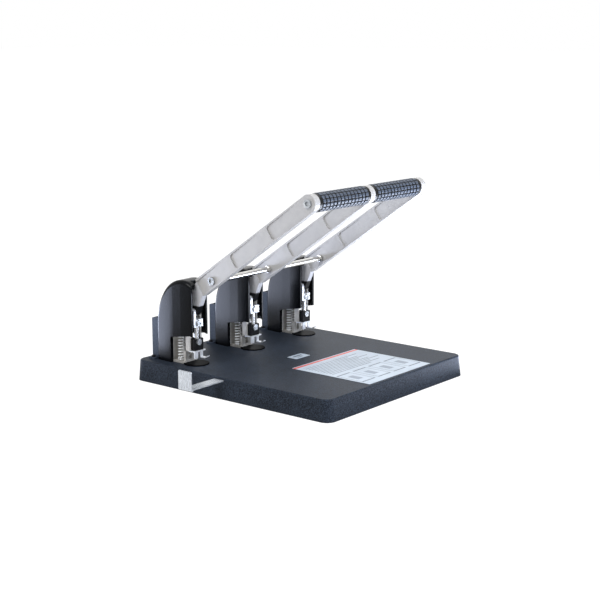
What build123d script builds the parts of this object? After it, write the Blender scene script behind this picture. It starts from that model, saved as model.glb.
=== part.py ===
from build123d import *
import math
import os

# Heavy-duty lever punch with three heads on one base, worked by one pair of grips.
# +X is the user's right, -Y is towards the user, +Z is up.
# The origin is on the underside of the rubber mat, which rests on the table: below the middle head's
# centre plane, ahead of the line through the punch axes by punch_y. Sizes are in mm.

# ---- base -----------------------------------------------------------------------------------
base_width = 285.0
base_depth = 311.0
base_x = 2.5                 # centre of the base beside the middle head
base_y = -2.5                # centre of the base behind the origin
base_top = 27.5              # top face above the table
base_rim = 0.5               # lower edge of the base above the table
base_skin = 2.5              # thickness under the top face
base_wall = 3.0
base_corner_r = 12.0
base_edge_r = 2.0
side_draft = 1.5             # how far the sides and the back lean out towards the bottom
front_draft = 3.0            # how far the front leans out towards the bottom
mat_thickness = 2.0
bottom_plate_thickness = 1.5
bottom_fit = 0.4             # gap between the base wall and the bottom plate
boss_r = 5.0
bottom_screw_r = 1.6
bottom_screw_head_r = 3.0

# ---- heads ----------------------------------------------------------------------------------
head_spacing = 108.0         # distance between hole centres
punch_y = 77.0               # line through the punch axes, behind the base centre
head_places = {"left": -head_spacing, "middle": 0.0, "right": head_spacing}

cover_width = 32.8           # across its widest place, halfway along its sides
cover_front_width = 30.8
cover_back_width = 27.6
cover_inner_width = 22.8
cover_wall = 5.0             # thickness of the roof and the back
cover_front = 6.0            # front edge of the cover, ahead of the punch line
cover_back = 56.5            # back of the cover, behind the punch line
cover_height = 108.0
cover_arc_depth = 46.0       # the back curves over to the roof as a quarter ellipse
cover_arc_rise = 63.0
cover_roof_drop = 5.0        # the roof falls this much from its crown to its front edge
cover_edge_r = 5.0
cover_slot = 13.0            # width of the slot that the lever swings in
cover_slot_back = 3.0       # back end of that slot, behind the punch line
window_back = 30.0           # back edge of the side window, behind the punch line
window_height = 33.0         # at its back edge
window_rise = 6.0            # the window's upper edge rises this much towards the front
window_r = 4.0

back_plate_width = 23.0
back_plate_depth = 10.5
back_plate_height = 53.0
back_plate_wall = 2.5
back_foot = 7.0              # how far each foot of the back plate stands out sideways
back_foot_length = 10.0
back_foot_thickness = 2.0
back_screw_r = 2.6
back_screw_height = 2.4

frame_gap = 0.3              # between the frame and the cover
frame_sheet = 2.6
frame_front = 1.4            # front edge of the frame's side plates, behind the punch line
frame_back = 32.5            # back face of the frame, behind the punch line
frame_height = 80.0
column_back = 8.1           # back edge of the side plates' front columns, behind the punch line
frame_window_height = 50.0
centre_web = 2.4
centre_web_front = 19.0
centre_web_height = 32.0

seat_thickness = 2.8
seat_front = 9.5             # front edge of the spring seat, behind the punch line
seat_margin = 0.3            # the seat is this much wider than the frame on each side
stop_front = 11.0            # face that the paper's edge meets, behind the punch line
stop_depth = 3.5
stop_height = 13.0
stop_floor = 2.0             # metal left under its slot
stop_slot = 5.0

throat_height = 18.0         # bottom of the punch guide above the base
guide_height = 14.6
guide_front = 4.6            # front face of the guide, ahead of the punch line
guide_back = 7.2
slide_gap = 0.3              # between a moving piece and what it slides past
guide_screw_r = 4.0
guide_screw_height = 2.0
guide_screw_side = -1.0      # beside the head's centre plane
guide_screw_drop = 3.6       # below the top of the guide

disc_r = 16.0
disc_proud = 1.2             # height of the cutting disc above the base
disc_depth = 3.4             # depth of its pocket below the base's top face
disc_gap = 0.3
disc_boss = 3.0

# ---- lever linkage --------------------------------------------------------------------------
pivot_back = 23.0            # lever pivot behind the punch line
pivot_height = 60.0          # lever pivot above the base
lever_swing = 36.0           # degrees from rest to the bottom of the stroke
pivot_pin_r = 4.0
drive_pin_r = 2.5
drive_pin_head = 1.2
running_gap = 0.06           # radial clearance of a pin in its bore
drive_slot_gap = 0.35         # clearance of the drive pin in the lever's open slot
half_swing = math.radians(lever_swing / 2)
stroke = 2 * pivot_back * math.tan(half_swing)
drive_pin_height = pivot_height + stroke / 2

punch_r = 3.3
punch_bore_r = 2.4
punch_bore_length = 22.0
cut_gap = 0.3                # between the punch and the disc at the bottom of the stroke

carrier_front = 4.0          # front face, ahead of the punch line
carrier_back = 7.0
carrier_body_low = 48.0      # heights above the base, at rest
carrier_body_high = 57.5
yoke_thickness = 5.0
yoke_back = 26.5
ear_thickness = 3.8
ear_top = 4.2                # metal above the drive pin's centre
clamp_screw_r = 4.2
clamp_screw_height = 2.4

spring_r = 4.5
spring_wire = 1.1
spring_back = 20.5           # spring axes behind the punch line
spring_side = 6.2            # spring axes beside the head's centre plane
spring_post_height = 5.0

stripper_sheet = 1.4
stripper_width = 19.8
stripper_front = 6.4         # front face of its legs, ahead of the punch line
stripper_back = 5.5
leg_low = 8.5                # bottom of the legs above the base
left_leg = (-9.9, -3.9)      # both edges of each leg beside the head's centre plane
right_leg = (0.9, 5.1)
toe_length = 11.5            # of the foot, ahead of its leg
toe_bend = 5.0               # length of the raised end
toe_rise = 2.6

# ---- lever and handle -----------------------------------------------------------------------
lever_thickness = 9.0
lever_tip_r = 11.0
lever_root_half = 11.8
lever_length = 211.0         # from the handle rod to the lever's root end
lever_angle = 34.6           # slope of the arm at rest, degrees
handle_forward = 184.0       # handle rod ahead of the punch line, at rest
handle_height = 219.0        # handle rod above the base, at rest
panel_pitch = 71.0           # the three shallow panels on each face of the arm
panel_length = 62.0
panel_run_out = 2.8          # the first panel starts this far past the root end
panel_depth = 1.7            # at its deep end
panel_margin = 1.8
panel_corner_r = 4.0
cross_rod_r = 3.5
cross_rod_place = 187.0      # along the arm, from the handle rod
cross_rod_drop = 3.0         # below the arm's centre line
collar_r = 4.6
collar_length = 3.0
handle_rod_r = 5.0
rod_hole_gap = 0.05
tenon_thickness = 5.0
tenon_length = 34.0
tenon_half = 8.0
tenon_gap = 0.05
hub_thickness = 8.0
hub_boss_r = 6.4
hub_nose_r = 5.2
hub_neck_r = 8.5
rod_screw_r = 5.2
rod_screw_height = 2.2
cross_screw_r = 5.0
hex_depth = 1.7
grip_r = 11.5
grip_gap = 0.3

# ---- side stop and labels -------------------------------------------------------------------
stop_reach = 60.0            # how far the side stop is pulled out at rest
stop_held = 26.0             # length of tongue still inside the base when pulled out
tongue_width = 15.0
tongue_y = 9.5
tongue_thickness = 1.5
tongue_drop = 2.9            # top of the tongue below the base's top face
tongue_gap = 0.3
tab_width = 21.0
tab_height = 24.0
guide_rail = 3.0
guide_rail_length = 92.0
strap_thickness = 1.5
label_width = 130.0
label_depth = 120.0
label_x = 13.0
label_front = 5.0            # gap between the label and the base's front edge
label_thickness = 0.3
plate_width = 28.0
plate_depth = 16.0
plate_x = 2.0
plate_y = 0.0

# ---- derived places -------------------------------------------------------------------------
base_left = base_x - base_width / 2
base_front = base_y - base_depth / 2
bottom_plate_low = mat_thickness
boss_low = bottom_plate_low + bottom_plate_thickness
cover_front_y = punch_y - cover_front
cover_back_y = punch_y + cover_back
frame_half = cover_inner_width / 2 - frame_gap
frame_inner_half = frame_half - frame_sheet
carrier_width = 2 * (frame_inner_half - slide_gap)
seat_top = base_top + seat_thickness
seat_half = frame_half + seat_margin
pivot_y = punch_y + pivot_back
pivot_z = base_top + pivot_height
drive_z = base_top + drive_pin_height
disc_top = base_top + disc_proud
throat_z = base_top + throat_height
tip_z = disc_top + cut_gap + stroke
handle_y = punch_y - handle_forward
handle_z = base_top + handle_height
yoke_low = base_top + carrier_body_low
tongue_top = base_top - tongue_drop
panel_half = lever_tip_r - panel_margin


def save(part, label):
    """Name a finished piece and write it to its own file."""
    part.label = label
    export_step(part, f"parts/{label}.step")


def lever_plane(x):
    """Plane of an arm's side: its origin is the handle rod, local x runs down the arm, z is -X."""
    angle = math.radians(lever_angle)
    return Plane(origin=(x, handle_y, handle_z), x_dir=(0, math.cos(angle), -math.sin(angle)), z_dir=(-1, 0, 0))


def on_lever(along, below=0.0):
    """World (y, z) of a point at a distance down the arm and below its centre line."""
    point = lever_plane(0).from_local_coords((along, below))
    return point.Y, point.Z


# ---- base pieces ----------------------------------------------------------------------------
def boss_places():
    """Centres of the screw bosses under the base: the corners, and one on each side ahead of the stop."""
    side = base_width / 2 - base_wall - 2.5 * boss_r
    end = base_depth / 2 - base_wall - 2.5 * boss_r
    return [(base_x + sx * side, base_y + sy * end) for sx in (-1, 1) for sy in (-1, -0.3, 1)]


def make_base():
    """Hollow base with leaning sides, disc pockets and rails for the side stop's tongue."""
    low_width = base_width + 2 * side_draft
    low_depth = base_depth + side_draft + front_draft
    low_centre_y = base_y + (side_draft - front_draft) / 2
    with BuildPart() as base:
        with BuildSketch(Plane.XY.offset(base_rim)):
            with Locations((base_x, low_centre_y)):
                RectangleRounded(low_width, low_depth, base_corner_r)
        with BuildSketch(Plane.XY.offset(base_top)):
            with Locations((base_x, base_y)):
                RectangleRounded(base_width, base_depth, base_corner_r)
        loft()
        fillet(base.edges().group_by(Axis.Z)[-1], base_edge_r)
        with BuildSketch(Plane.XY.offset(base_rim)):
            with Locations((base_x, base_y)):
                RectangleRounded(
                    base_width - 2 * base_wall, base_depth - 2 * base_wall, base_corner_r - base_wall
                )
        extrude(amount=base_top - base_skin - base_rim, mode=Mode.SUBTRACT)
        with BuildSketch(Plane.XY.offset(boss_low)):
            with Locations(*boss_places()):
                Circle(boss_r)
        extrude(amount=base_top - base_skin / 2 - boss_low)
        with BuildSketch(Plane.XY.offset(boss_low)):
            with Locations(*boss_places()):
                Circle(bottom_screw_r)
        extrude(amount=bottom_screw_length(), mode=Mode.SUBTRACT)
        with BuildSketch(Plane.XY.offset(base_top - disc_depth - base_skin)):
            with Locations(*[(x, punch_y) for x in head_places.values()]):
                Circle(disc_r + disc_gap + disc_boss)
        extrude(amount=disc_depth + base_skin / 2)
        with BuildSketch(Plane.XY.offset(base_top - disc_depth)):
            with Locations(*[(x, punch_y) for x in head_places.values()]):
                Circle(disc_r + disc_gap)
        extrude(amount=2 * disc_depth, mode=Mode.SUBTRACT)
        rail_x = base_left + base_wall / 2 + guide_rail_length / 2
        rail_offset = (tongue_width + guide_rail) / 2 + tongue_gap
        with BuildSketch(Plane.XY.offset(strap_top())):
            with Locations((rail_x, tongue_y - rail_offset), (rail_x, tongue_y + rail_offset)):
                Rectangle(guide_rail_length, guide_rail)
        extrude(amount=base_top - base_skin / 2 - strap_top())
        with BuildSketch(Plane.XY.offset(strap_top())):
            with Locations((base_left, tongue_y)):
                Rectangle(4 * base_wall, tongue_width + 2 * tongue_gap)
        extrude(amount=tongue_thickness + 2 * tongue_gap, mode=Mode.SUBTRACT)
    return base.part


def bottom_screw_length():
    """Depth of the screw holes in the bosses."""
    return base_top - base_skin - boss_low - 4.0


def strap_top():
    """Height of the strap's upper face, which the tongue slides on."""
    return tongue_top - tongue_thickness - tongue_gap


def make_bottom_plate():
    """Steel plate that closes the base from below."""
    inset = base_wall + bottom_fit
    with BuildPart() as bottom_plate:
        with BuildSketch(Plane.XY.offset(bottom_plate_low)):
            with Locations((base_x, base_y)):
                RectangleRounded(base_width - 2 * inset, base_depth - 2 * inset, base_corner_r - inset)
            with Locations(*boss_places()):
                Circle(bottom_screw_r + 0.2, mode=Mode.SUBTRACT)
        extrude(amount=bottom_plate_thickness)
    return bottom_plate.part


def make_rubber_mat():
    """Non-slip mat under the bottom plate, with holes for the screw heads."""
    inset = base_wall + 2 * bottom_fit
    with BuildPart() as rubber_mat:
        with BuildSketch(Plane.XY):
            with Locations((base_x, base_y)):
                RectangleRounded(base_width - 2 * inset, base_depth - 2 * inset, base_corner_r - inset)
            with Locations(*boss_places()):
                Circle(bottom_screw_head_r + 0.5, mode=Mode.SUBTRACT)
        extrude(amount=mat_thickness)
    return rubber_mat.part


def make_bottom_screws():
    """Pan-head screws from the bottom plate up into the bosses."""
    with BuildPart() as bottom_screws:
        with BuildSketch(Plane.XY.offset(bottom_plate_low)):
            with Locations(*boss_places()):
                Circle(bottom_screw_r)
        extrude(amount=bottom_plate_thickness + bottom_screw_length() - 1.0)
        with BuildSketch(Plane.XY.offset(bottom_plate_low)):
            with Locations(*boss_places()):
                Circle(bottom_screw_head_r)
        extrude(amount=-0.75 * mat_thickness)
    return bottom_screws.part


def make_stop_guide():
    """Strap under the rails that carries the side stop's tongue."""
    rail_x = base_left + base_wall / 2 + guide_rail_length / 2
    length = guide_rail_length - 2 * base_wall
    with BuildPart() as stop_guide:
        with BuildSketch(Plane.XY.offset(strap_top() - strap_thickness)):
            with Locations((rail_x + base_wall, tongue_y)):
                Rectangle(length, tongue_width + 2 * (guide_rail + tongue_gap))
        extrude(amount=strap_thickness)
    return stop_guide.part


def make_side_stop():
    """Sheet tongue that slides out of the base's left side, with an upright tab at its end."""
    outer_x = base_left - stop_reach
    inner_x = base_left + stop_held
    with BuildPart() as side_stop:
        with BuildSketch(Plane.XY.offset(tongue_top - tongue_thickness)):
            with Locations(((outer_x + inner_x) / 2, tongue_y)):
                Rectangle(inner_x - outer_x, tongue_width)
            with Locations((outer_x + tongue_thickness, tongue_y)):
                Rectangle(2 * tongue_thickness, tab_width)
        extrude(amount=tongue_thickness)
        with BuildSketch(Plane.YZ.offset(outer_x)):
            with Locations((tongue_y, tongue_top - tongue_thickness + tab_height / 2)):
                Rectangle(tab_width, tab_height)
        extrude(amount=tongue_thickness)
        top_corners = side_stop.edges().filter_by(Axis.X).group_by(Axis.Z)[-1]
        fillet(top_corners, 1.5)
        bend = side_stop.edges().filter_by(Axis.Y).group_by(Axis.Z)[0].sort_by(Axis.X)[0]
        fillet(bend, tongue_thickness)
    return side_stop.part


def make_label(width, depth, x, y, name):
    """Thin plate stuck on the base's top face."""
    with BuildPart() as label:
        with BuildSketch(Plane.XY.offset(base_top)):
            with Locations((x, y)):
                RectangleRounded(width, depth, 1.0)
        extrude(amount=label_thickness)
    save(label.part, name)


# ---- fixed pieces of a head -----------------------------------------------------------------
def cover_profile(x, shrink):
    """Side view of the cover: upright back, elliptic shoulder, and roof falling to the front."""
    back = cover_back_y - shrink
    crown_y = cover_back_y - cover_arc_depth
    crown_z = base_top + cover_height - shrink
    spring_z = base_top + cover_height - cover_arc_rise
    front = cover_front_y
    with BuildSketch(Plane.YZ.offset(x), mode=Mode.PRIVATE) as profile:
        with BuildLine():
            Line((front, base_top), (back, base_top))
            Line((back, base_top), (back, spring_z))
            EllipticalCenterArc(
                (crown_y, spring_z), cover_arc_depth - shrink, cover_arc_rise - shrink, 0, arc_size=90
            )
            TangentArc((crown_y, crown_z), (front, crown_z - cover_roof_drop), tangent=(-1, 0))
            Line((front, crown_z - cover_roof_drop), (front, base_top))
        make_face()
    return profile.sketch


def cover_plan(x):
    """Plan of the cover: its sides bulge gently between a narrower front and a narrower back."""
    middle_y = (cover_front_y + cover_back_y) / 2
    with BuildSketch(Plane.XY.offset(base_top), mode=Mode.PRIVATE) as plan:
        with BuildLine():
            corners = []
            for side in (-1, 1):
                front = (x + side * cover_front_width / 2, cover_front_y)
                back = (x + side * cover_back_width / 2, cover_back_y)
                ThreePointArc(front, (x + side * cover_width / 2, middle_y), back)
                corners.append((front, back))
            Line(corners[0][0], corners[1][0])
            Line(corners[0][1], corners[1][1])
        make_face()
    return plan.sketch


def make_cover(x):
    """Moulded cover: open below and in front, slotted above for the lever, with side windows."""
    top = base_top + cover_height
    with BuildPart() as cover:
        extrude(cover_profile(x, 0), amount=cover_width / 2, both=True)
        extrude(cover_plan(x), amount=2 * cover_height, mode=Mode.INTERSECT)
        side_rims = cover.edges().filter_by(lambda e: abs(e.center().X - x) > cover_inner_width / 2)
        upper_rims = side_rims.filter_by(lambda e: e.center().Z > base_top + 1)
        rounded = upper_rims.filter_by(lambda e: e.center().Y > cover_front_y + 1)
        fillet(rounded, cover_edge_r)
        extrude(cover_profile(x, cover_wall), amount=cover_inner_width / 2, both=True, mode=Mode.SUBTRACT)
        slot_length = cover_front + cover_slot_back
        with BuildSketch(Plane.XY.offset(top)):
            with Locations((x, cover_front_y + slot_length / 2)):
                Rectangle(cover_slot, slot_length)
        extrude(amount=-(2 * cover_wall + cover_roof_drop + cover_edge_r), mode=Mode.SUBTRACT)
        window_y = punch_y + window_back
        with BuildSketch(Plane.YZ.offset(x)):
            with BuildLine():
                Polyline(
                    (cover_front_y - 1, base_top - 1),
                    (window_y, base_top - 1),
                    (window_y, base_top + window_height),
                    (cover_front_y - 1, base_top + window_height + window_rise),
                    close=True,
                )
            face = make_face()
            corner = face.vertices().sort_by_distance((x, window_y, base_top + window_height))[0]
            fillet(corner, window_r)
        extrude(amount=cover_width, both=True, mode=Mode.SUBTRACT)
        front_edges = cover.edges().filter_by(Axis.Z).group_by(Axis.Y)[0]
        fillet(front_edges, cover_wall * 0.3)
    return cover.part


def make_back_plate(x):
    """Folded steel plate behind the cover, with a foot on each side for its screws."""
    front = cover_back_y
    middle = front + back_plate_depth / 2
    with BuildPart() as back_plate:
        with BuildSketch(Plane.XY.offset(base_top)):
            with Locations((x, middle)):
                Rectangle(back_plate_width, back_plate_depth)
            with Locations((x, middle - back_plate_wall)):
                Rectangle(back_plate_width - 2 * back_plate_wall, back_plate_depth, mode=Mode.SUBTRACT)
        extrude(amount=back_plate_height)
        top_edges = back_plate.edges().filter_by(Axis.X).group_by(Axis.Z)[-1].sort_by(Axis.Y)
        fillet(top_edges[-1], 0.8 * back_plate_wall)
        with BuildSketch(Plane.XY.offset(base_top)):
            with Locations(*[(x + side * back_foot_x(), back_foot_y()) for side in (-1, 1)]):
                Rectangle(back_foot, back_foot_length)
        extrude(amount=back_foot_thickness)
    return back_plate.part


def back_foot_x():
    """Distance of a foot's centre from the head's centre plane."""
    return (back_plate_width + back_foot) / 2


def back_foot_y():
    """Place of the feet along the back plate."""
    return cover_back_y + back_plate_depth - back_foot_length / 2


def make_back_screws():
    """Two round-head screws for each back plate."""
    places = [(x + side * back_foot_x(), back_foot_y()) for x in head_places.values() for side in (-1, 1)]
    with BuildPart() as back_screws:
        with BuildSketch(Plane.XY.offset(base_top + back_foot_thickness)):
            with Locations(*places):
                Circle(back_screw_r)
        extrude(amount=back_screw_height)
        fillet(back_screws.edges().group_by(Axis.Z)[-1], back_screw_height * 0.4)
        with BuildSketch(Plane.XY.offset(base_top + back_foot_thickness)):
            with Locations(*places):
                Circle(back_screw_r / 3)
        extrude(amount=back_screw_height, mode=Mode.SUBTRACT)
    return back_screws.part


def make_frame(x):
    """Steel frame: two side plates, a back plate between them, and a web between the springs."""
    front = punch_y + frame_front
    back = punch_y + frame_back
    column = punch_y + column_back
    height = frame_height - seat_thickness
    with BuildPart() as frame:
        with BuildSketch(Plane.XY.offset(seat_top)):
            with Locations((x, (front + back) / 2)):
                Rectangle(2 * frame_half, back - front)
            with Locations((x, (front + back) / 2 - frame_sheet)):
                Rectangle(2 * frame_inner_half, back - front, mode=Mode.SUBTRACT)
        extrude(amount=height)
        with BuildSketch(Plane.YZ.offset(x)):
            with Locations((front, seat_top)):
                Rectangle(column - front, throat_z - seat_top, align=(Align.MIN, Align.MIN))
            with Locations((column, seat_top)):
                Rectangle(
                    back - frame_sheet - column,
                    base_top + frame_window_height - seat_top,
                    align=(Align.MIN, Align.MIN),
                )
        extrude(amount=cover_width, both=True, mode=Mode.SUBTRACT)
        web_back = back - frame_sheet / 2
        web_front = punch_y + centre_web_front
        with BuildSketch(Plane.XY.offset(seat_top)):
            with Locations((x, (web_front + web_back) / 2)):
                Rectangle(centre_web, web_back - web_front)
        extrude(amount=centre_web_height - seat_thickness)
        with BuildSketch(Plane.YZ.offset(x)):
            with Locations((pivot_y, pivot_z)):
                Circle(pivot_pin_r)
        extrude(amount=cover_width, both=True, mode=Mode.SUBTRACT)
        top_corners = frame.edges().filter_by(Axis.X).group_by(Axis.Z)[-1].group_by(Axis.Y)[0]
        fillet(top_corners, 4.0)
    return frame.part


def make_spring_seat(x):
    """Plate under the frame that carries the springs, relieved underneath where the disc turns."""
    front = punch_y + seat_front
    back = punch_y + frame_back + seat_margin
    with BuildPart() as spring_seat:
        with BuildSketch(Plane.XY.offset(base_top)):
            with Locations((x, (front + back) / 2)):
                Rectangle(2 * seat_half, back - front)
        extrude(amount=seat_thickness)
        with BuildSketch(Plane.XY.offset(base_top)):
            with Locations((x, punch_y)):
                Circle(disc_r + 2 * disc_gap)
        extrude(amount=disc_proud + disc_gap, mode=Mode.SUBTRACT)
        with BuildSketch(Plane.XY.offset(seat_top)):
            with Locations(*spring_places(x)):
                Circle(spring_r - spring_wire - slide_gap)
        extrude(amount=spring_post_height)
    return spring_seat.part


def spring_places(x):
    """Centres of a head's two springs."""
    return [(x - spring_side, punch_y + spring_back), (x + spring_side, punch_y + spring_back)]


def make_paper_stops():
    """Blocks that the paper's edge is pushed against, each with an upright slot in its middle."""
    with BuildPart() as paper_stops:
        with BuildSketch(Plane.XY.offset(seat_top)):
            for x in head_places.values():
                with Locations((x, punch_y + stop_front + stop_depth / 2)):
                    Rectangle(2 * frame_inner_half, stop_depth)
                with Locations((x, punch_y + stop_front + stop_depth / 2)):
                    Rectangle(stop_slot, stop_depth, mode=Mode.SUBTRACT)
        extrude(amount=stop_height)
        with BuildSketch(Plane.XY.offset(seat_top)):
            for x in head_places.values():
                with Locations((x, punch_y + stop_front + stop_depth / 2)):
                    Rectangle(2 * frame_inner_half, stop_depth)
        extrude(amount=stop_floor)
    return paper_stops.part


def make_punch_guide(x):
    """Block between the frame's columns in which the punch slides."""
    front = punch_y - guide_front
    back = punch_y + guide_back
    half = frame_half - frame_sheet
    with BuildPart() as punch_guide:
        with BuildSketch(Plane.XY.offset(throat_z)):
            with Locations((x, (front + back) / 2)):
                Rectangle(2 * half, back - front)
        extrude(amount=guide_height)
        with BuildSketch(Plane.XY.offset(throat_z)):
            with Locations((x, punch_y)):
                Circle(punch_r + running_gap)
        extrude(amount=guide_height, mode=Mode.SUBTRACT)
        fillet(punch_guide.edges().filter_by(Axis.Z).group_by(Axis.Y)[0], 1.0)
    return punch_guide.part


def make_guide_screws():
    """Cheese-head screw in the face of each punch guide."""
    face = punch_y - guide_front
    height = throat_z + guide_height - guide_screw_drop
    places = [(x + guide_screw_side, height) for x in head_places.values()]
    with BuildPart() as guide_screws:
        with BuildSketch(Plane.XZ.offset(-face)):
            with Locations(*places):
                Circle(guide_screw_r)
        extrude(amount=guide_screw_height)
        with BuildSketch(Plane.XZ.offset(-face + guide_screw_height)):
            with Locations(*places):
                Rectangle(2 * guide_screw_r, 0.8)
        extrude(amount=-0.8, mode=Mode.SUBTRACT)
    return guide_screws.part


def make_pivot_pins():
    """Pins through the frames' side plates that the lever hubs turn on."""
    with BuildPart() as pivot_pins:
        for x in head_places.values():
            with BuildSketch(Plane.YZ.offset(x)):
                with Locations((pivot_y, pivot_z)):
                    Circle(pivot_pin_r)
            extrude(amount=frame_half, both=True)
    return pivot_pins.part


def make_return_springs(x):
    """The two springs of a head, as the plain tubes that their coils fill."""
    with BuildPart() as return_springs:
        with BuildSketch(Plane.XY.offset(seat_top)):
            with Locations(*spring_places(x)):
                Circle(spring_r)
                Circle(spring_r - spring_wire, mode=Mode.SUBTRACT)
        extrude(amount=yoke_low - seat_top)
    return return_springs.part


def make_cutting_disc(x):
    """Disc that the punch cuts against: it turns in its pocket to bring up a fresh place."""
    with BuildPart() as cutting_disc:
        with BuildSketch(Plane.XY.offset(base_top - disc_depth)):
            with Locations((x, punch_y)):
                Circle(disc_r)
        extrude(amount=disc_depth + disc_proud)
        fillet(cutting_disc.edges().group_by(Axis.Z)[-1], 0.5)
    return cutting_disc.part


def make_paper_stripper(x):
    """Bent strip under the punch guide that pulls the paper off: two legs, one with a raised foot."""
    front = punch_y - stripper_front
    low = base_top + leg_low
    inner = front + stripper_sheet
    with BuildPart() as paper_stripper:
        with BuildSketch(Plane.XY.offset(throat_z)):
            with Locations((x, (front + punch_y + stripper_back) / 2)):
                Rectangle(stripper_width, punch_y + stripper_back - front)
            with Locations((x, punch_y)):
                Circle(punch_r + slide_gap, mode=Mode.SUBTRACT)
        extrude(amount=-stripper_sheet)
        with BuildSketch(Plane.XZ.offset(-inner)):
            for leg in (left_leg, right_leg):
                with Locations((x + leg[0], low)):
                    Rectangle(leg[1] - leg[0], throat_z - low, align=(Align.MIN, Align.MIN))
        extrude(amount=stripper_sheet)
        with BuildSketch(Plane.YZ.offset(x + right_leg[0])):
            with BuildLine():
                Polyline(
                    (inner, low),
                    (front - toe_length + toe_bend, low),
                    (front - toe_length, low + toe_rise),
                    (front - toe_length, low + toe_rise + stripper_sheet),
                    (front - toe_length + toe_bend, low + stripper_sheet),
                    (inner, low + stripper_sheet),
                    close=True,
                )
            make_face()
        extrude(amount=right_leg[1] - right_leg[0])
    return paper_stripper.part


# ---- pieces of a punch carrier --------------------------------------------------------------
def make_carrier(x):
    """Sliding carrier: body, yoke over the springs, and one ear on the left for the drive pin."""
    front = punch_y - carrier_front
    back = punch_y + carrier_back
    low = base_top + carrier_body_low
    high = base_top + carrier_body_high
    ear_x = x - carrier_width / 2
    with BuildPart() as carrier:
        with BuildSketch(Plane.XY.offset(low)):
            with Locations((x, (front + back) / 2)):
                Rectangle(carrier_width, back - front)
        extrude(amount=high - low)
        with BuildSketch(Plane.XY.offset(yoke_low)):
            with Locations((x, (front + punch_y + yoke_back) / 2)):
                Rectangle(carrier_width, punch_y + yoke_back - front)
        extrude(amount=yoke_thickness)
        with BuildSketch(Plane.YZ.offset(ear_x)):
            with Locations((punch_y, (low + drive_z) / 2)):
                Rectangle(2 * carrier_front, drive_z - low)
            with Locations((punch_y, drive_z)):
                Circle(ear_top)
        extrude(amount=ear_thickness)
        with BuildSketch(Plane.YZ.offset(ear_x)):
            with Locations((punch_y, drive_z)):
                Circle(drive_pin_r)
        extrude(amount=carrier_width, mode=Mode.SUBTRACT)
    return carrier.part


def make_drive_pin(x):
    """Headed pin, fast in the carrier's ear, that the lever's nose pushes down."""
    start = x - carrier_width / 2
    head = x + hub_thickness / 2 + slide_gap
    with BuildPart() as drive_pin:
        with BuildSketch(Plane.YZ.offset(start)):
            with Locations((punch_y, drive_z)):
                Circle(drive_pin_r)
        extrude(amount=head - start)
        with BuildSketch(Plane.YZ.offset(head)):
            with Locations((punch_y, drive_z)):
                Circle(ear_top)
        extrude(amount=drive_pin_head)
    return drive_pin.part


def make_clamp_screw(x):
    """Cross-slotted screw in the carrier's front face that clamps the punch."""
    face = punch_y - carrier_front
    height = base_top + (carrier_body_low + carrier_body_high) / 2
    with BuildPart() as clamp_screw:
        with BuildSketch(Plane.XZ.offset(-face)):
            with Locations((x, height)):
                Circle(clamp_screw_r)
        extrude(amount=clamp_screw_height)
        fillet(clamp_screw.edges().group_by(Axis.Y)[0], 0.6)
        with BuildSketch(Plane.XZ.offset(-face + clamp_screw_height)):
            with Locations((x, height)):
                Rectangle(1.3 * clamp_screw_r, 1.0)
                Rectangle(1.0, 1.3 * clamp_screw_r)
        extrude(amount=-1.0, mode=Mode.SUBTRACT)
    return clamp_screw.part


def make_punch(x):
    """Hollow punch under the carrier, sharpened from inside at its lower end."""
    top = base_top + carrier_body_low
    with BuildPart() as punch:
        with BuildSketch(Plane.XY.offset(tip_z)):
            with Locations((x, punch_y)):
                Circle(punch_r)
        extrude(amount=top - tip_z)
        with BuildSketch(Plane.XY.offset(tip_z)):
            with Locations((x, punch_y)):
                Circle(punch_bore_r)
        extrude(amount=punch_bore_length, mode=Mode.SUBTRACT)
        inner = punch.edges().group_by(Axis.Z)[0].sort_by(SortBy.RADIUS)[0]
        chamfer(inner, 0.7 * (punch_r - punch_bore_r))
    return punch.part


# ---- pieces of the lever --------------------------------------------------------------------
def make_lever_arm(x):
    """Flat cast arm with a round top end, three wedge-shaped panels a side and a mortise at its root."""
    side = lever_plane(x)
    with BuildPart() as lever_arm:
        with BuildSketch(side):
            with BuildLine():
                Polyline(
                    (0, lever_tip_r), (lever_length, lever_root_half),
                    (lever_length, -lever_root_half), (0, -lever_tip_r), close=True,
                )
            make_face()
            Circle(lever_tip_r)
        extrude(amount=lever_thickness / 2, both=True)
        root_corners = lever_arm.edges().filter_by(Axis.X).sort_by_distance(
            side.from_local_coords((lever_length, 0, 0))
        )[0:2]
        fillet(root_corners, 1.5)
        for face_side in (1, -1):
            for index in range(3):
                deep_end = lever_length + panel_run_out - index * panel_pitch
                panel = panel_outline(side, face_side, deep_end)
                extrude(panel, amount=3 * panel_depth, dir=side.z_dir * face_side, mode=Mode.SUBTRACT)
        with BuildSketch(side):
            with Locations((lever_length - tenon_length / 2, 0)):
                Rectangle(tenon_length + 2 * tenon_gap, 2 * (tenon_half + tenon_gap))
            with Locations((lever_length, 0)):
                Rectangle(4.0, 2 * (tenon_half + tenon_gap))
        extrude(amount=tenon_thickness / 2 + tenon_gap, both=True, mode=Mode.SUBTRACT)
        with BuildSketch(side):
            Circle(handle_rod_r + rod_hole_gap)
            with Locations((cross_rod_place, cross_rod_drop)):
                Circle(cross_rod_r + rod_hole_gap)
        extrude(amount=lever_thickness, both=True, mode=Mode.SUBTRACT)
    return lever_arm.part


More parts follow.
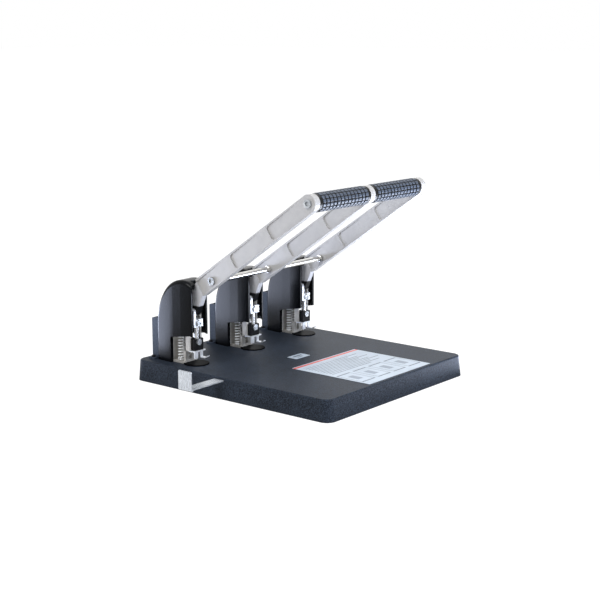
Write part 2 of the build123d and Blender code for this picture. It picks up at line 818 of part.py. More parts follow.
def panel_outline(side, face_side, deep_end):
    """Outline of one panel's floor, which slopes from the arm's face down to its deep, rounded end."""
    surface = lever_thickness / 2 * face_side
    shallow = side.from_local_coords((deep_end - panel_length, 0, surface))
    deep = side.from_local_coords((deep_end, 0, surface - panel_depth * face_side))
    slope = Plane(origin=shallow, x_dir=deep - shallow, z_dir=(deep - shallow).cross(side.y_dir))
    with BuildSketch(slope, mode=Mode.PRIVATE) as outline:
        Rectangle(panel_length, 2 * panel_half, align=(Align.MIN, Align.CENTER))
        fillet(outline.vertices().group_by(Axis.X)[-1], panel_corner_r)
    return outline.sketch


def make_lever_hub(x):
    """Steel hub fixed in the arm's root: it turns on the pivot pin, and its nose is slotted."""
    side = lever_plane(x)
    neck = on_lever(lever_length + 0.5)
    with BuildPart() as lever_hub:
        with BuildSketch(Plane.YZ.offset(x)):
            with Locations((pivot_y, pivot_z)):
                Circle(hub_boss_r)
            with Locations((punch_y, drive_z)):
                Circle(hub_nose_r)
            with Locations(neck):
                Circle(hub_neck_r)
            make_hull()
        extrude(amount=hub_thickness / 2, both=True)
        with BuildSketch(side):
            with Locations((lever_length + tenon_gap, 0)):
                Rectangle(lever_length, 4 * lever_root_half, align=(Align.MAX, Align.CENTER))
        extrude(amount=hub_thickness, both=True, mode=Mode.SUBTRACT)
        with BuildSketch(side):
            with Locations((lever_length - tenon_length / 2 + 1.0, 0)):
                Rectangle(tenon_length + 2.0, 2 * tenon_half)
        extrude(amount=tenon_thickness / 2, both=True)
        with BuildSketch(side):
            with Locations((cross_rod_place, cross_rod_drop)):
                Circle(cross_rod_r + rod_hole_gap)
        extrude(amount=lever_thickness, both=True, mode=Mode.SUBTRACT)
        with BuildSketch(Plane.YZ.offset(x)):
            with Locations((pivot_y, pivot_z)):
                Circle(pivot_pin_r + running_gap)
            nose_reach = pivot_back / math.cos(half_swing)
            slot_middle = (pivot_back + nose_reach) / 2
            slot_centre = (
                pivot_y - slot_middle * math.cos(half_swing), pivot_z + slot_middle * math.sin(half_swing)
            )
            with Locations(Location(slot_centre, -lever_swing / 2)):
                SlotCenterToCenter(
                    nose_reach - pivot_back + 2 * drive_slot_gap, 2 * (drive_pin_r + drive_slot_gap)
                )
        extrude(amount=lever_thickness, both=True, mode=Mode.SUBTRACT)
    return lever_hub.part


def make_rod(place, radius, name):
    """Round rod through all three arms."""
    reach = head_spacing + lever_thickness / 2
    with BuildPart() as rod:
        with BuildSketch(Plane.YZ):
            with Locations(place):
                Circle(radius)
        extrude(amount=reach, both=True)
    save(rod.part, name)


def make_rod_collars():
    """Collars on the cross rod, against the sides of the arms that face each other."""
    half = lever_thickness / 2
    with BuildPart() as rod_collars:
        for start in (-head_spacing + half, -half - collar_length, half, head_spacing - half - collar_length):
            with BuildSketch(Plane.YZ.offset(start)):
                with Locations(on_lever(cross_rod_place, cross_rod_drop)):
                    Circle(collar_r)
                    Circle(cross_rod_r + rod_hole_gap, mode=Mode.SUBTRACT)
            extrude(amount=collar_length)
    return rod_collars.part


def make_rod_screws():
    """Socket screws in both ends of the handle rod and the cross rod."""
    reach = head_spacing + lever_thickness / 2
    ends = ((on_lever(0), rod_screw_r), (on_lever(cross_rod_place, cross_rod_drop), cross_screw_r))
    with BuildPart() as rod_screws:
        for direction in (-1, 1):
            for place, radius in ends:
                with BuildSketch(Plane.YZ.offset(direction * reach)):
                    with Locations(place):
                        Circle(radius)
                extrude(amount=direction * rod_screw_height)
        for direction in (-1, 1):
            for place, radius in ends:
                with BuildSketch(Plane.YZ.offset(direction * (reach + rod_screw_height))):
                    with Locations(place):
                        RegularPolygon(radius * 0.6, 6)
                extrude(amount=-direction * hex_depth, mode=Mode.SUBTRACT)
    return rod_screws.part


def make_grip(start, name):
    """Rubber sleeve on the handle rod between two arms."""
    length = head_spacing - lever_thickness - 2 * grip_gap
    with BuildPart() as grip:
        with BuildSketch(Plane.YZ.offset(start + grip_gap)):
            with Locations(on_lever(0)):
                Circle(grip_r)
                Circle(handle_rod_r + rod_hole_gap, mode=Mode.SUBTRACT)
        extrude(amount=length)
    save(grip.part, name)


# ---- all pieces -----------------------------------------------------------------------------
os.makedirs("parts", exist_ok=True)

save(make_base(), "base")
save(make_bottom_plate(), "bottom_plate")
save(make_rubber_mat(), "rubber_mat")
save(make_bottom_screws(), "bottom_screws")
save(make_stop_guide(), "stop_guide")
save(make_side_stop(), "side_stop")
label_y = base_front + label_front + label_depth / 2
make_label(label_width, label_depth, label_x, label_y, "instruction_label")
make_label(plate_width, plate_depth, plate_x, plate_y, "small_label")

for side, x in head_places.items():
    save(make_cover(x), f"cover_{side}")
    save(make_back_plate(x), f"back_plate_{side}")
    save(make_frame(x), f"head_frame_{side}")
    save(make_spring_seat(x), f"spring_seat_{side}")
    save(make_punch_guide(x), f"punch_guide_{side}")
    save(make_return_springs(x), f"return_springs_{side}")
    save(make_cutting_disc(x), f"cutting_disc_{side}")
    save(make_paper_stripper(x), f"paper_stripper_{side}")
    save(make_carrier(x), f"carrier_{side}")
    save(make_drive_pin(x), f"drive_pin_{side}")
    save(make_clamp_screw(x), f"clamp_screw_{side}")
    save(make_punch(x), f"punch_{side}")
    save(make_lever_arm(x), f"lever_arm_{side}")
    save(make_lever_hub(x), f"lever_hub_{side}")

save(make_back_screws(), "back_screws")
save(make_paper_stops(), "paper_stops")
save(make_guide_screws(), "guide_screws")
save(make_pivot_pins(), "pivot_pins")
make_rod(on_lever(cross_rod_place, cross_rod_drop), cross_rod_r, "cross_rod")
make_rod(on_lever(0), handle_rod_r, "handle_rod")
save(make_rod_collars(), "rod_collars")
save(make_rod_screws(), "rod_screws")
make_grip(-head_spacing + lever_thickness / 2, "grip_left")
make_grip(lever_thickness / 2, "grip_right")
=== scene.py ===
"""Looks of a three-head lever punch: finishes for its CAD pieces, wire springs, and padded grips."""
import math

import bpy
import numpy as np
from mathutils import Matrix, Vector


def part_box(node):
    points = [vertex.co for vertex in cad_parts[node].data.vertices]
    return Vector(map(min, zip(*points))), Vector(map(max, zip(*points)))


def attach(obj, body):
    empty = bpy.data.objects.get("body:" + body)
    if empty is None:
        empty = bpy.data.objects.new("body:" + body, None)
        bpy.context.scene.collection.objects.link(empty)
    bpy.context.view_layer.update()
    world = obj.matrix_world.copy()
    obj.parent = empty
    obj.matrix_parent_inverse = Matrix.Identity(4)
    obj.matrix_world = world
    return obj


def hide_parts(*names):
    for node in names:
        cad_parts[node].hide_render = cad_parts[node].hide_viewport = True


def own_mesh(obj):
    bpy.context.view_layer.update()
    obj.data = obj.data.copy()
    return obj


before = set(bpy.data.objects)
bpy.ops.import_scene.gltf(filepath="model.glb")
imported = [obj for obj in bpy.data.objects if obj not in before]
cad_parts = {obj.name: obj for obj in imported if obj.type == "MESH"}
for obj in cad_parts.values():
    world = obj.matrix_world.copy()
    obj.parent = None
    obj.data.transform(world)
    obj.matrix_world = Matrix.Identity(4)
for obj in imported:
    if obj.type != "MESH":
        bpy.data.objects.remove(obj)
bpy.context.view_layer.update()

MM = 0.001
SIDES = ("left", "middle", "right")


# ---- node helpers -----------------------------------------------------------------------------
def linear(hex_colour):
    """An sRGB hex value as linear RGBA: above 0.04045 it is ((c + 0.055) / 1.055) to the power 2.4."""
    values = [int(hex_colour[i:i + 2], 16) / 255 for i in (1, 3, 5)]
    return tuple(v / 12.92 if v <= 0.04045 else ((v + 0.055) / 1.055) ** 2.4 for v in values) + (1.0,)


def new_material(name, hex_colour, roughness, metallic=0.0, specular=0.2):
    """A material with a Principled shader, its even values set on the shader's own sockets."""
    material = bpy.data.materials.new(name)
    material.use_nodes = True
    shader = material.node_tree.nodes["Principled BSDF"]
    shader.inputs["Base Color"].default_value = linear(hex_colour)
    shader.inputs["Roughness"].default_value = roughness
    shader.inputs["Metallic"].default_value = metallic
    shader.inputs["Specular IOR Level"].default_value = specular
    return material, shader


def node(material, kind, links=(), **settings):
    """Adds a node. links are (input, output socket); a setting names an attribute or an input socket."""
    made = material.node_tree.nodes.new(kind)
    for key, value in settings.items():
        if hasattr(made, key):
            setattr(made, key, value)
        else:
            made.inputs[key.replace("_", " ")].default_value = value
    for key, source in links:
        material.node_tree.links.new(source, made.inputs[key])
    return made


def link(material, source, target):
    """Joins an output socket to an input socket."""
    material.node_tree.links.new(source, target)


def object_place(material):
    """The Object coordinates socket, in metres in the object's own frame."""
    return node(material, "ShaderNodeTexCoord").outputs["Object"]


def colour_steps(material, factor, stops):
    """A colour ramp over (position, hex) stops, driven by a factor socket."""
    ramp = node(material, "ShaderNodeValToRGB", [("Fac", factor)])
    elements = ramp.color_ramp.elements
    for index, (position, hex_colour) in enumerate(stops):
        stop = elements[index] if index < 2 else elements.new(position)
        stop.position = position
        stop.color = linear(hex_colour)
    return ramp.outputs["Color"]


def rough_range(material, shader, factor, low, high):
    """Roughness that runs from low to high with a factor socket."""
    spread = node(material, "ShaderNodeMapRange", [("Value", factor)], To_Min=low, To_Max=high)
    link(material, spread.outputs["Result"], shader.inputs["Roughness"])


def bump(material, shader, height, depth_mm):
    """Surface relief: the height socket's 0 to 1 stands for depth_mm."""
    relief = node(material, "ShaderNodeBump", [("Height", height)], Distance=depth_mm * MM, Strength=1.0)
    link(material, relief.outputs["Normal"], shader.inputs["Normal"])


def grain(material, size_mm, detail=3.0, stretch=(1, 1, 1)):
    """Noise whose grains are about size_mm across; stretch lengthens them along an axis."""
    place = node(material, "ShaderNodeMapping", [("Vector", object_place(material))])
    place.inputs["Scale"].default_value = [1 / (size_mm * MM * s) for s in stretch]
    noise = node(material, "ShaderNodeTexNoise", [("Vector", place.outputs["Vector"])],
                 Scale=1.0, Detail=detail, Roughness=0.55)
    return noise.outputs["Fac"]


def scaled(material, value, factor, offset):
    """value times factor plus offset."""
    made = node(material, "ShaderNodeMath", operation="MULTIPLY_ADD")
    link(material, value, made.inputs[0])
    made.inputs[1].default_value = factor
    made.inputs[2].default_value = offset
    return made.outputs[0]


def combine(material, operation, first, second):
    """A Math node of two sockets or numbers."""
    made = node(material, "ShaderNodeMath", operation=operation)
    for index, value in enumerate((first, second)):
        if isinstance(value, (int, float)):
            made.inputs[index].default_value = value
        else:
            link(material, value, made.inputs[index])
    return made.outputs[0]


def band(material, value, low, high):
    """1 where a socket lies between low and high, and 0 elsewhere."""
    above = combine(material, "GREATER_THAN", value, low)
    below = combine(material, "LESS_THAN", value, high)
    return combine(material, "MULTIPLY", above, below)


def inked(material, paper, mask, hex_colour):
    """Paper colour with ink of one colour wherever the mask is 1."""
    made = node(material, "ShaderNodeMix", data_type="RGBA")
    link(material, mask, made.inputs["Factor"])
    link(material, paper, made.inputs[6])
    made.inputs[7].default_value = linear(hex_colour)
    return made.outputs[2]


# ---- materials --------------------------------------------------------------------------------
def powder_coat(name, dark, light):
    """Fine-textured powder coat on pressed steel: dull, and slightly speckled by its grit."""
    material, shader = new_material(name, dark, 0.5, specular=0.08)
    speckle = grain(material, 1.4)
    cloud = grain(material, 60.0, detail=2.0)
    mixed = node(material, "ShaderNodeMix", [("A", speckle), ("B", cloud)], data_type="FLOAT", Factor=0.15)
    colour = colour_steps(material, mixed.outputs["Result"], [(0.38, dark), (0.62, light)])
    link(material, colour, shader.inputs["Base Color"])
    rough_range(material, shader, speckle, 0.38, 0.6)
    bump(material, shader, speckle, 0.14)
    return material


def gloss_cover_enamel():
    """Gloss black enamel over a moulded cover: deep, with a faint orange-peel ripple."""
    material, shader = new_material("gloss_cover_enamel", "#07080c", 0.2, specular=0.1)
    ripple = grain(material, 2.4, detail=1.0)
    colour = colour_steps(material, grain(material, 45.0, detail=2.0), [(0.3, "#030406"), (0.7, "#07090d")])
    link(material, colour, shader.inputs["Base Color"])
    rough_range(material, shader, ripple, 0.17, 0.25)
    bump(material, shader, ripple, 0.03)
    return material


def silver_lever_lacquer():
    """Silver lacquer on a cast arm: pale neutral grey with a slight pebble."""
    material, shader = new_material("silver_lever_lacquer", "#aaa9a9", 0.36, metallic=0.1)
    pebble = grain(material, 0.9, detail=4.0)
    colour = colour_steps(material, grain(material, 14.0), [(0.3, "#a6a5a5"), (0.7, "#aeadac")])
    link(material, colour, shader.inputs["Base Color"])
    rough_range(material, shader, pebble, 0.34, 0.5)
    bump(material, shader, pebble, 0.06)
    return material


def zinc_plate(name, light, dark, roughness, metallic=0.85):
    """Zinc plating on pressed steel: pale, with soft cloudy patches and fine drawing marks."""
    material, shader = new_material(name, light, roughness, metallic=metallic)
    cloud = grain(material, 7.0)
    drawn = grain(material, 0.35, stretch=(1, 1, 14))
    colour = colour_steps(material, cloud, [(0.3, dark), (0.7, light)])
    link(material, colour, shader.inputs["Base Color"])
    rough_range(material, shader, drawn, roughness - 0.06, roughness + 0.12)
    bump(material, shader, drawn, 0.02)
    return material


def bright_nickel():
    """Nickel plate on turned rod: bright and nearly neutral, with rings left by the lathe."""
    material, shader = new_material("bright_nickel", "#d3d2cf", 0.18, metallic=1.0)
    rings = grain(material, 0.4, stretch=(1, 20, 20))
    colour = colour_steps(material, grain(material, 9.0), [(0.3, "#c4c3c0"), (0.7, "#dcdbd8")])
    link(material, colour, shader.inputs["Base Color"])
    rough_range(material, shader, rings, 0.12, 0.28)
    return material


def black_nylon(name, hex_colour, roughness):
    """Moulded black nylon or oxide-blacked steel: near black with a soft sheen."""
    material, shader = new_material(name, hex_colour, roughness, specular=0.12)
    fine = grain(material, 0.7)
    rough_range(material, shader, fine, roughness - 0.06, roughness + 0.1)
    bump(material, shader, fine, 0.03)
    return material


def disc_nylon_with_painted_light(name, centre_x, centre_y):
    """Moulded nylon cutting disc, near black: its face pales outwards as a painted highlight, and a darker
    ring round it is painted shade.
    """
    material, shader = new_material(name, "#030304", 0.4, specular=0.01)
    place = node(material, "ShaderNodeMapping", [("Vector", object_place(material))])
    place.inputs["Location"].default_value = (-centre_x, -centre_y, 0)
    flat = node(material, "ShaderNodeVectorMath", [(0, place.outputs["Vector"])], operation="MULTIPLY")
    disc_radius = 16 * MM
    flat.inputs[1].default_value = (1 / disc_radius, 1 / disc_radius, 0)
    radius = node(material, "ShaderNodeVectorMath", [(0, flat.outputs["Vector"])], operation="LENGTH")
    # painted highlight on the face, paler outwards, and painted shade in the near black ring beyond it
    colour = colour_steps(material, radius.outputs["Value"],
                          [(0.0, "#050607"), (0.3, "#090a0c"), (0.68, "#0d0e11"), (0.75, "#020203")])
    link(material, colour, shader.inputs["Base Color"])
    bump(material, shader, grain(material, 0.7), 0.03)
    return material


def hub_with_painted_shade():
    """Cast hub: lacquered silver like its arm above the cover's slot, and near black below it, which is
    painted shade of the cover's inside where the nose sits.
    """
    material, shader = new_material("hub_with_painted_shade", "#c3c3c6", 0.4)
    split = node(material, "ShaderNodeSeparateXYZ", [("Vector", object_place(material))])
    painted_shade_below = 101.0
    blend = 4.0
    height = scaled(material, split.outputs["Z"], 1 / (blend * MM), -painted_shade_below / blend)
    # painted shade: near black below the slot's height, lacquer silver above it
    colour = colour_steps(material, height, [(0.3, "#0c0d10"), (0.7, "#b9b9bd")])
    link(material, colour, shader.inputs["Base Color"])
    bump(material, shader, grain(material, 0.9, detail=4.0), 0.06)
    return material


def grip_rubber_with_painted_groove_shade():
    """Moulded rubber sleeve, slate blue on the pad tops; the grooves and the plain rims are near black,
    painted shade.
    """
    material, shader = new_material("grip_rubber_with_painted_groove_shade", "#5a6478", 0.42)
    height = node(material, "ShaderNodeAttribute", attribute_name="pad_height").outputs["Fac"]
    # painted shade: near black in the grooves and rims, slate on the pad tops, driven by the pad height
    colour = colour_steps(material, height, [(0.0, "#040507"), (0.56, "#07080b"), (0.85, "#444c59")])
    link(material, colour, shader.inputs["Base Color"])
    rough_range(material, shader, grain(material, 1.5), 0.24, 0.38)
    bump(material, shader, grain(material, 0.5), 0.04)
    return material


def mat_rubber():
    """Foamed rubber sheet: matt black with fine cells."""
    material, shader = new_material("mat_rubber", "#141414", 0.85)
    cells = node(material, "ShaderNodeTexVoronoi", [("Vector", object_place(material))], Scale=900.0)
    bump(material, shader, cells.outputs["Distance"], 0.15)
    return material


def printed_film(name, width, depth, centre_x, centre_y, generic_print):
    """Printed film label, silver blue: ruled lines and plain boxes worked out in millimetres."""
    material, shader = new_material(name, "#b4bfcc", 0.38)
    split = node(material, "ShaderNodeSeparateXYZ", [("Vector", object_place(material))])
    across = scaled(material, split.outputs["X"], 1 / (width * MM), 0.5 - centre_x / width)
    up = scaled(material, split.outputs["Y"], 1 / (depth * MM), 0.5 - centre_y / depth)
    paper = colour_steps(material, grain(material, 20.0), [(0.3, "#a6b2bf"), (0.7, "#b4bfcb")])
    colour = generic_print(material, across, up, paper)
    link(material, colour, shader.inputs["Base Color"])
    return material


def ruled_sheet(material, across, up, paper):
    """A header stripe at the far edge, ruled rows, and a row of plain framed boxes near the front."""
    colour = inked(material, paper, band(material, up, 0.95, 0.985), "#c8493f")
    row_place = combine(material, "MULTIPLY", up, 26.0)
    rows = combine(material, "FRACT", row_place, 0.0)
    whole = combine(material, "FLOOR", row_place, 0.0)
    uneven = combine(material, "FRACT", combine(material, "MULTIPLY", whole, 0.377), 0.0)
    row_end = combine(material, "SUBTRACT", 0.95, combine(material, "MULTIPLY", uneven, 0.3))
    ruled = combine(material, "LESS_THAN", across, row_end)
    text_rows = combine(material, "MULTIPLY", band(material, rows, 0.3, 0.62), ruled)
    text_across = band(material, across, 0.06, 0.94)
    text_area = combine(material, "MULTIPLY", band(material, up, 0.5, 0.9), text_across)
    colour = inked(material, colour, combine(material, "MULTIPLY", text_rows, text_area), "#5c6674")
    columns = combine(material, "FRACT", combine(material, "MULTIPLY", across, 4.0), 0.0)
    in_box = combine(material, "MULTIPLY", band(material, columns, 0.1, 0.9), band(material, up, 0.1, 0.44))
    inner = combine(material, "MULTIPLY", band(material, columns, 0.13, 0.87), band(material, up, 0.12, 0.42))
    frame_line = combine(material, "SUBTRACT", in_box, inner)
    colour = inked(material, colour, frame_line, "#5c6674")
    figure = combine(material, "MULTIPLY", band(material, columns, 0.3, 0.62), band(material, up, 0.2, 0.34))
    return inked(material, colour, figure, "#7f8a98")


def small_ruled_plate(material, across, up, paper):
    """Two short ruled lines."""
    line = combine(material, "MULTIPLY", band(material, up, 0.55, 0.75), band(material, across, 0.2, 0.8))
    colour = inked(material, paper, line, "#4b5563")
    line = combine(material, "MULTIPLY", band(material, up, 0.25, 0.4), band(material, across, 0.3, 0.7))
    return inked(material, colour, line, "#6c7683")


# ---- surfaces ---------------------------------------------------------------------------------
def grid_mesh(name, points, material, caps):
    """A closed mesh from an array of rows of points, each row's end joined to its start.

    Row r and column c give point r * columns + c. caps closes both ends with one face each, and
    without them the last row is joined to the first.
    """
    rows, columns = points.shape[:2]
    steps = rows - 1 if caps else rows
    row, column = np.meshgrid(np.arange(steps), np.arange(columns), indexing="ij")
    next_row = (row + 1) % rows
    next_column = (column + 1) % columns
    corners = [(row, column), (row, next_column), (next_row, next_column), (next_row, column)]
    faces = np.stack([r * columns + c for r, c in corners], axis=-1).reshape(-1, 4).tolist()
    if caps:
        faces.append(list(range(columns))[::-1])
        faces.append(list(range((rows - 1) * columns, rows * columns)))
    mesh = bpy.data.meshes.new(name)
    mesh.from_pydata(points.reshape(-1, 3).tolist(), [], faces)
    mesh.polygons.foreach_set("use_smooth", np.ones(len(mesh.polygons), dtype=bool))
    mesh.materials.append(material)
    piece = bpy.data.objects.new(name, mesh)
    bpy.context.scene.collection.objects.link(piece)
    return piece


def helix(centre, radius, wire, bottom, top, turns):
    """Points of a wire coil. At angle t the wire's centre is (r cos t, r sin t, z(t)).

    z rises by one wire thickness a turn in the closed end coils, and evenly between them.
    Round that centre a circle of the wire's radius is laid in the plane of the radius and the axis.
    """
    steps_a_turn = 20
    section_steps = 8
    flat_turns = 1.0
    angle = np.linspace(0, 2 * math.pi * turns, int(turns * steps_a_turn) + 1)
    turn = angle / (2 * math.pi)
    low = bottom + wire / 2
    high = top - wire / 2
    marks = [0, flat_turns, turns - flat_turns, turns]
    heights = [low, low + wire * flat_turns, high - wire * flat_turns, high]
    z = np.interp(turn, marks, heights)
    section = np.linspace(2 * math.pi, 0, section_steps + 1)[:-1]
    middle = radius - wire / 2
    out = middle + wire / 2 * np.cos(section)[None, :]
    x = centre[0] + out * np.cos(angle)[:, None]
    y = centre[1] + out * np.sin(angle)[:, None]
    height = z[:, None] + wire / 2 * np.sin(section)[None, :]
    return np.stack([x, y, height], axis=-1)


def add_springs(side, material):
    """Two wire coils that fill the return springs' plain tubes, joined in one piece."""
    low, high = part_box(f"return_springs_{side}")
    radius = (high[1] - low[1]) / 2
    wire = 1.35 * MM
    turns = 13.0
    y = (low[1] + high[1]) / 2
    coils = []
    for index, x in enumerate((low[0] + radius, high[0] - radius)):
        points = helix((x, y), radius, wire, low[2], high[2], turns)
        coils.append(grid_mesh(f"coil_{side}_{index}", points, material, caps=True))
    with bpy.context.temp_override(active_object=coils[0], selected_editable_objects=coils):
        bpy.ops.object.join()
    springs = coils[0]
    springs.name = f"wire_springs_{side}"
    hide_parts(f"return_springs_{side}")
    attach(springs, "base_unit")
    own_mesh(springs)


def soft_step(value, edge, width):
    """0 below the edge and 1 above it, with a smooth change over the width."""
    t = np.clip((value - edge) / width, 0, 1)
    return t * t * (3 - 2 * t)


def add_grip(name, node_name, material):
    """Padded rubber sleeve round the handle rod, closed by its bore and its two flat ends.

    At distance s along the axis and angle t round it, the radius is the groove's radius plus the
    pads' height times a pad shape. The pad shape is a product of two flat-topped waves, one of s
    and one of t, and it fades out in a plain rim at each end.
    """
    low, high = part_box(node_name)
    axis_y = (low[1] + high[1]) / 2
    axis_z = (low[2] + high[2]) / 2
    outer = (high[2] - low[2]) / 2
    length = high[0] - low[0]
    rim = 4.5 * MM
    pads_along = 13
    pads_round = 14
    pad_height = 1.3 * MM
    steps_along = 390
    steps_round = 168
    s = np.linspace(0, 1, steps_along + 1)
    t = np.linspace(0, 2 * math.pi, steps_round + 1)[:-1]
    along = s * length
    inside = (along - rim) / (length - 2 * rim)
    wave_s = np.abs((inside * pads_along) % 1 - 0.5) * 2
    wave_t = np.abs((t / (2 * math.pi) * pads_round) % 1 - 0.5) * 2
    pad = (1 - soft_step(wave_s, 0.66, 0.2))[:, None] * (1 - soft_step(wave_t, 0.68, 0.2))[None, :]
    within = ((inside > 0) & (inside < 1)).astype(float)
    shape = pad * within[:, None]
    end = np.minimum(along, length - along)
    plain_rim = (1 - within) * (1 - 0.35 * np.exp(-end / (0.5 * MM)))
    shape = np.maximum(shape, 0.55 * plain_rim[:, None])
    radius = outer - pad_height + pad_height * shape
    bore = 5.05 * MM
    inner = np.full((1, t.size), bore)
    rings = np.concatenate([inner, radius, inner], axis=0)
    places = np.concatenate([[0.0], along, [length]])
    y = axis_y + rings * np.cos(t)[None, :]
    z = axis_z + rings * np.sin(t)[None, :]
    x = np.broadcast_to((low[0] + places)[:, None], rings.shape)
    grip = grid_mesh(name, np.stack([x, y, z], axis=-1), material, caps=False)
    # The grip's material darkens the grooves and rims by this height as painted shade.
    height = np.concatenate([np.zeros((1, t.size)), shape, np.zeros((1, t.size))], axis=0)
    attribute = grip.data.attributes.new("pad_height", "FLOAT", "POINT")
    attribute.data.foreach_set("value", height.reshape(-1).astype(np.float32))
    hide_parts(node_name)
    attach(grip, "lever")


# ---- finishes on the CAD pieces ---------------------------------------------------------------
def paint(name, material):
    """Gives a CAD piece its material."""
    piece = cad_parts[name]
    piece.data.materials.clear()
    piece.data.materials.append(material)


powder = powder_coat("charcoal_powder_coat", "#12151b", "#303844")
# painted light: the back plates get a lighter copy of the base's powder coat, standing in for the light that
# falls on them
back_powder_painted_light = powder_coat("powder_coat_painted_lighter", "#343b47", "#4a5260")
cover = gloss_cover_enamel()
lacquer = silver_lever_lacquer()
frame_zinc = zinc_plate("frame_zinc_plate", "#bcbab5", "#a4a19c", 0.36, 0.12)
stop_zinc = zinc_plate("side_stop_zinc", "#cdd1d7", "#bec3ca", 0.24, 0.5)
bright_zinc = zinc_plate("bright_zinc_plate", "#e2e4e8", "#cdd1d7", 0.28, 0.4)
ground_steel = zinc_plate("ground_tool_steel", "#d2d2d3", "#b9babc", 0.22)
wire_steel = zinc_plate("spring_wire_steel", "#ffffff", "#eceff2", 0.3, 0.15)
screw_zinc = zinc_plate("blue_zinc_screw", "#cdd0d3", "#8d9297", 0.22, 0.7)
nickel = bright_nickel()
guide = black_nylon("black_guide_nylon", "#0b0c0e", 0.42)
black_oxide = black_nylon("black_oxide_screw", "#121317", 0.4)
rubber = grip_rubber_with_painted_groove_shade()
hub_lacquer_and_painted_shade = hub_with_painted_shade()

paint("base", powder)
paint("rubber_mat", mat_rubber())
for name in ("bottom_plate", "bottom_screws", "stop_guide"):
    paint(name, frame_zinc)
for name in ("cross_rod", "handle_rod", "rod_collars"):
    paint(name, nickel)
for name in ("rod_screws", "guide_screws"):
    paint(name, screw_zinc)
paint("side_stop", stop_zinc)
paint("paper_stops", frame_zinc)
paint("pivot_pins", ground_steel)
paint("back_screws", black_oxide)
for side in SIDES:
    paint(f"cover_{side}", cover)
    paint(f"back_plate_{side}", back_powder_painted_light)
    for name in ("head_frame", "spring_seat"):
        paint(f"{name}_{side}", frame_zinc)
    for name in ("carrier", "paper_stripper"):
        paint(f"{name}_{side}", bright_zinc)
    for name in ("drive_pin", "punch"):
        paint(f"{name}_{side}", ground_steel)
    paint(f"lever_hub_{side}", hub_lacquer_and_painted_shade)
    paint(f"clamp_screw_{side}", screw_zinc)
    paint(f"punch_guide_{side}", guide)
    low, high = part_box(f"cutting_disc_{side}")
    paint(f"cutting_disc_{side}",
          disc_nylon_with_painted_light(f"disc_nylon_{side}", (low[0] + high[0]) / 2, (low[1] + high[1]) / 2))
    paint(f"lever_arm_{side}", lacquer)
    add_springs(side, wire_steel)

for name, generic_print in (("instruction_label", ruled_sheet), ("small_label", small_ruled_plate)):
    low, high = (np.array(corner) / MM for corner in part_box(name))
    size = high - low
    middle = (high + low) / 2
    paint(name, printed_film(f"{name}_film", size[0], size[1], middle[0], middle[1], generic_print))

add_grip("padded_grip_left", "grip_left", rubber)
add_grip("padded_grip_right", "grip_right", rubber)


# ---- floor, lights and camera -----------------------------------------------------------------
def make_floor():
    """A wide pale floor, white to the camera and in metal and glass, that keeps the object's shadow."""
    material, shader = new_material("studio_floor", "#f4f4f4", 0.9)
    tree = material.node_tree
    path = node(material, "ShaderNodeLightPath")
    strength = node(material, "ShaderNodeMapRange", [("Value", path.outputs["Is Camera Ray"])],
                    To_Min=1.0, To_Max=1.2)
    glow = node(material, "ShaderNodeEmission", [("Strength", strength.outputs["Result"])])
    glow.inputs["Color"].default_value = (1, 1, 1, 1)
    mix = node(material, "ShaderNodeMixShader")
    seen = combine(material, "MULTIPLY", path.outputs["Is Camera Ray"], 0.8)
    glossy = path.outputs["Is Glossy Ray"]
    mirrored = combine(material, "MAXIMUM", glossy, path.outputs["Is Transmission Ray"])
    amount = combine(material, "MAXIMUM", seen, mirrored)
    link(material, amount, mix.inputs[0])
    link(material, shader.outputs[0], mix.inputs[1])
    link(material, glow.outputs[0], mix.inputs[2])
    link(material, mix.outputs[0], tree.nodes["Material Output"].inputs["Surface"])
    reach = 20.0
    corners = [(-reach, -reach, 0), (reach, -reach, 0), (reach, reach, 0), (-reach, reach, 0)]
    mesh = bpy.data.meshes.new("floor")
    mesh.from_pydata(corners, [], [(0, 1, 2, 3)])
    mesh.materials.append(material)
    floor = bpy.data.objects.new("floor", mesh)
    bpy.context.scene.collection.objects.link(floor)


def make_world():
    """Soft grey surroundings for the light, white to the camera and in metal and glass."""
    world = bpy.data.worlds.new("studio")
    world.use_nodes = True
    bpy.context.scene.world = world
    tree = world.node_tree
    background = tree.nodes["Background"]
    path = tree.nodes.new("ShaderNodeLightPath")
    soft_light = 0.24
    strength = None
    for name in ("Is Camera Ray", "Is Glossy Ray", "Is Transmission Ray"):
        larger = tree.nodes.new("ShaderNodeMath")
        larger.operation = "MAXIMUM"
        larger.inputs[1].default_value = soft_light
        tree.links.new(path.outputs[name], larger.inputs[0])
        if strength is not None:
            tree.links.new(strength, larger.inputs[1])
        strength = larger.outputs["Value"]
    tree.links.new(strength, background.inputs["Strength"])
    background.inputs["Color"].default_value = (1, 1, 1, 1)


def aim(lamp, target):
    """Turns a lamp or camera so that its -Z axis points at the target."""
    direction = Vector(target) - lamp.location
    lamp.rotation_euler = direction.to_track_quat("-Z", "Y").to_euler()


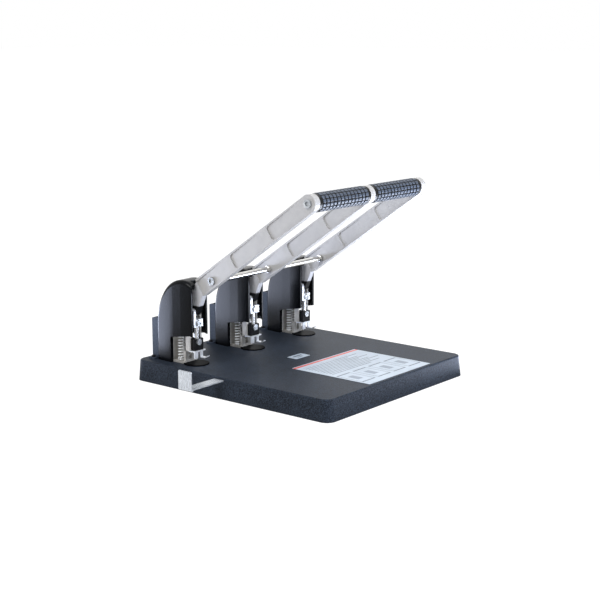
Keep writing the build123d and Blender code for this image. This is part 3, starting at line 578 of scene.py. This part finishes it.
def add_area_lamp(name, place, target, size, power, colour="#ffffff"):
    """A rectangular soft box."""
    data = bpy.data.lights.new(name, "AREA")
    data.color = linear(colour)[:3]
    data.shape = "RECTANGLE"
    data.size, data.size_y = size
    data.energy = power
    lamp = bpy.data.objects.new(name, data)
    lamp.location = place
    bpy.context.scene.collection.objects.link(lamp)
    aim(lamp, target)


def add_floor_card(name, place, size, turn, power, colour="#ffffff"):
    """A glowing card that lies on the floor, facing up, turned about the upright by an angle in degrees."""
    add_area_lamp(name, place, (place[0], place[1], 1.0), size, power, colour)
    bpy.data.objects[name].rotation_euler = (math.pi, 0, math.radians(turn))


def make_camera():
    """A long lens from the front left, a little above the base."""
    target = Vector((0.00466, 0.0, 0.1015))
    azimuth = math.radians(-50.92)
    elevation = math.radians(11.61)
    distance = 1.717
    back = Vector((
        math.sin(azimuth) * math.cos(elevation),
        -math.cos(azimuth) * math.cos(elevation),
        math.sin(elevation),
    ))
    data = bpy.data.cameras.new("camera")
    data.lens = 80.2
    data.sensor_width = 36.0
    data.clip_end = 50.0
    camera = bpy.data.objects.new("camera", data)
    camera.location = target + distance * back
    bpy.context.scene.collection.objects.link(camera)
    aim(camera, target)
    bpy.context.scene.camera = camera


make_floor()
make_world()
add_area_lamp("overhead_box", (0.2, -0.5, 1.5), (0, -0.1, 0.05), (1.4, 1.0), 19.0)
add_area_lamp("left_high_box", (-1.2, 0.2, 1.3), (0, 0, 0.12), (0.8, 0.8), 17.0)
add_area_lamp("front_box", (-0.05, -0.95, 0.3), (-0.05, -0.1, 0.04), (0.5, 0.35), 5.0, "#e8f0ff")
add_area_lamp("right_rear_box", (1.5, 0.9, 0.6), (0, 0, 0.05), (0.8, 0.8), 2.0)
add_floor_card("left_rear_card", (-0.292, 0.666, 0.004), (0.7, 0.5), 135.0, 16.0, "#dbe5ff")
add_floor_card("front_right_card", (0.33, -0.38, 0.004), (0.5, 0.34), -40.0, 9.0, "#e3ecff")
make_camera()
bpy.context.scene.view_settings.view_transform = "Standard"
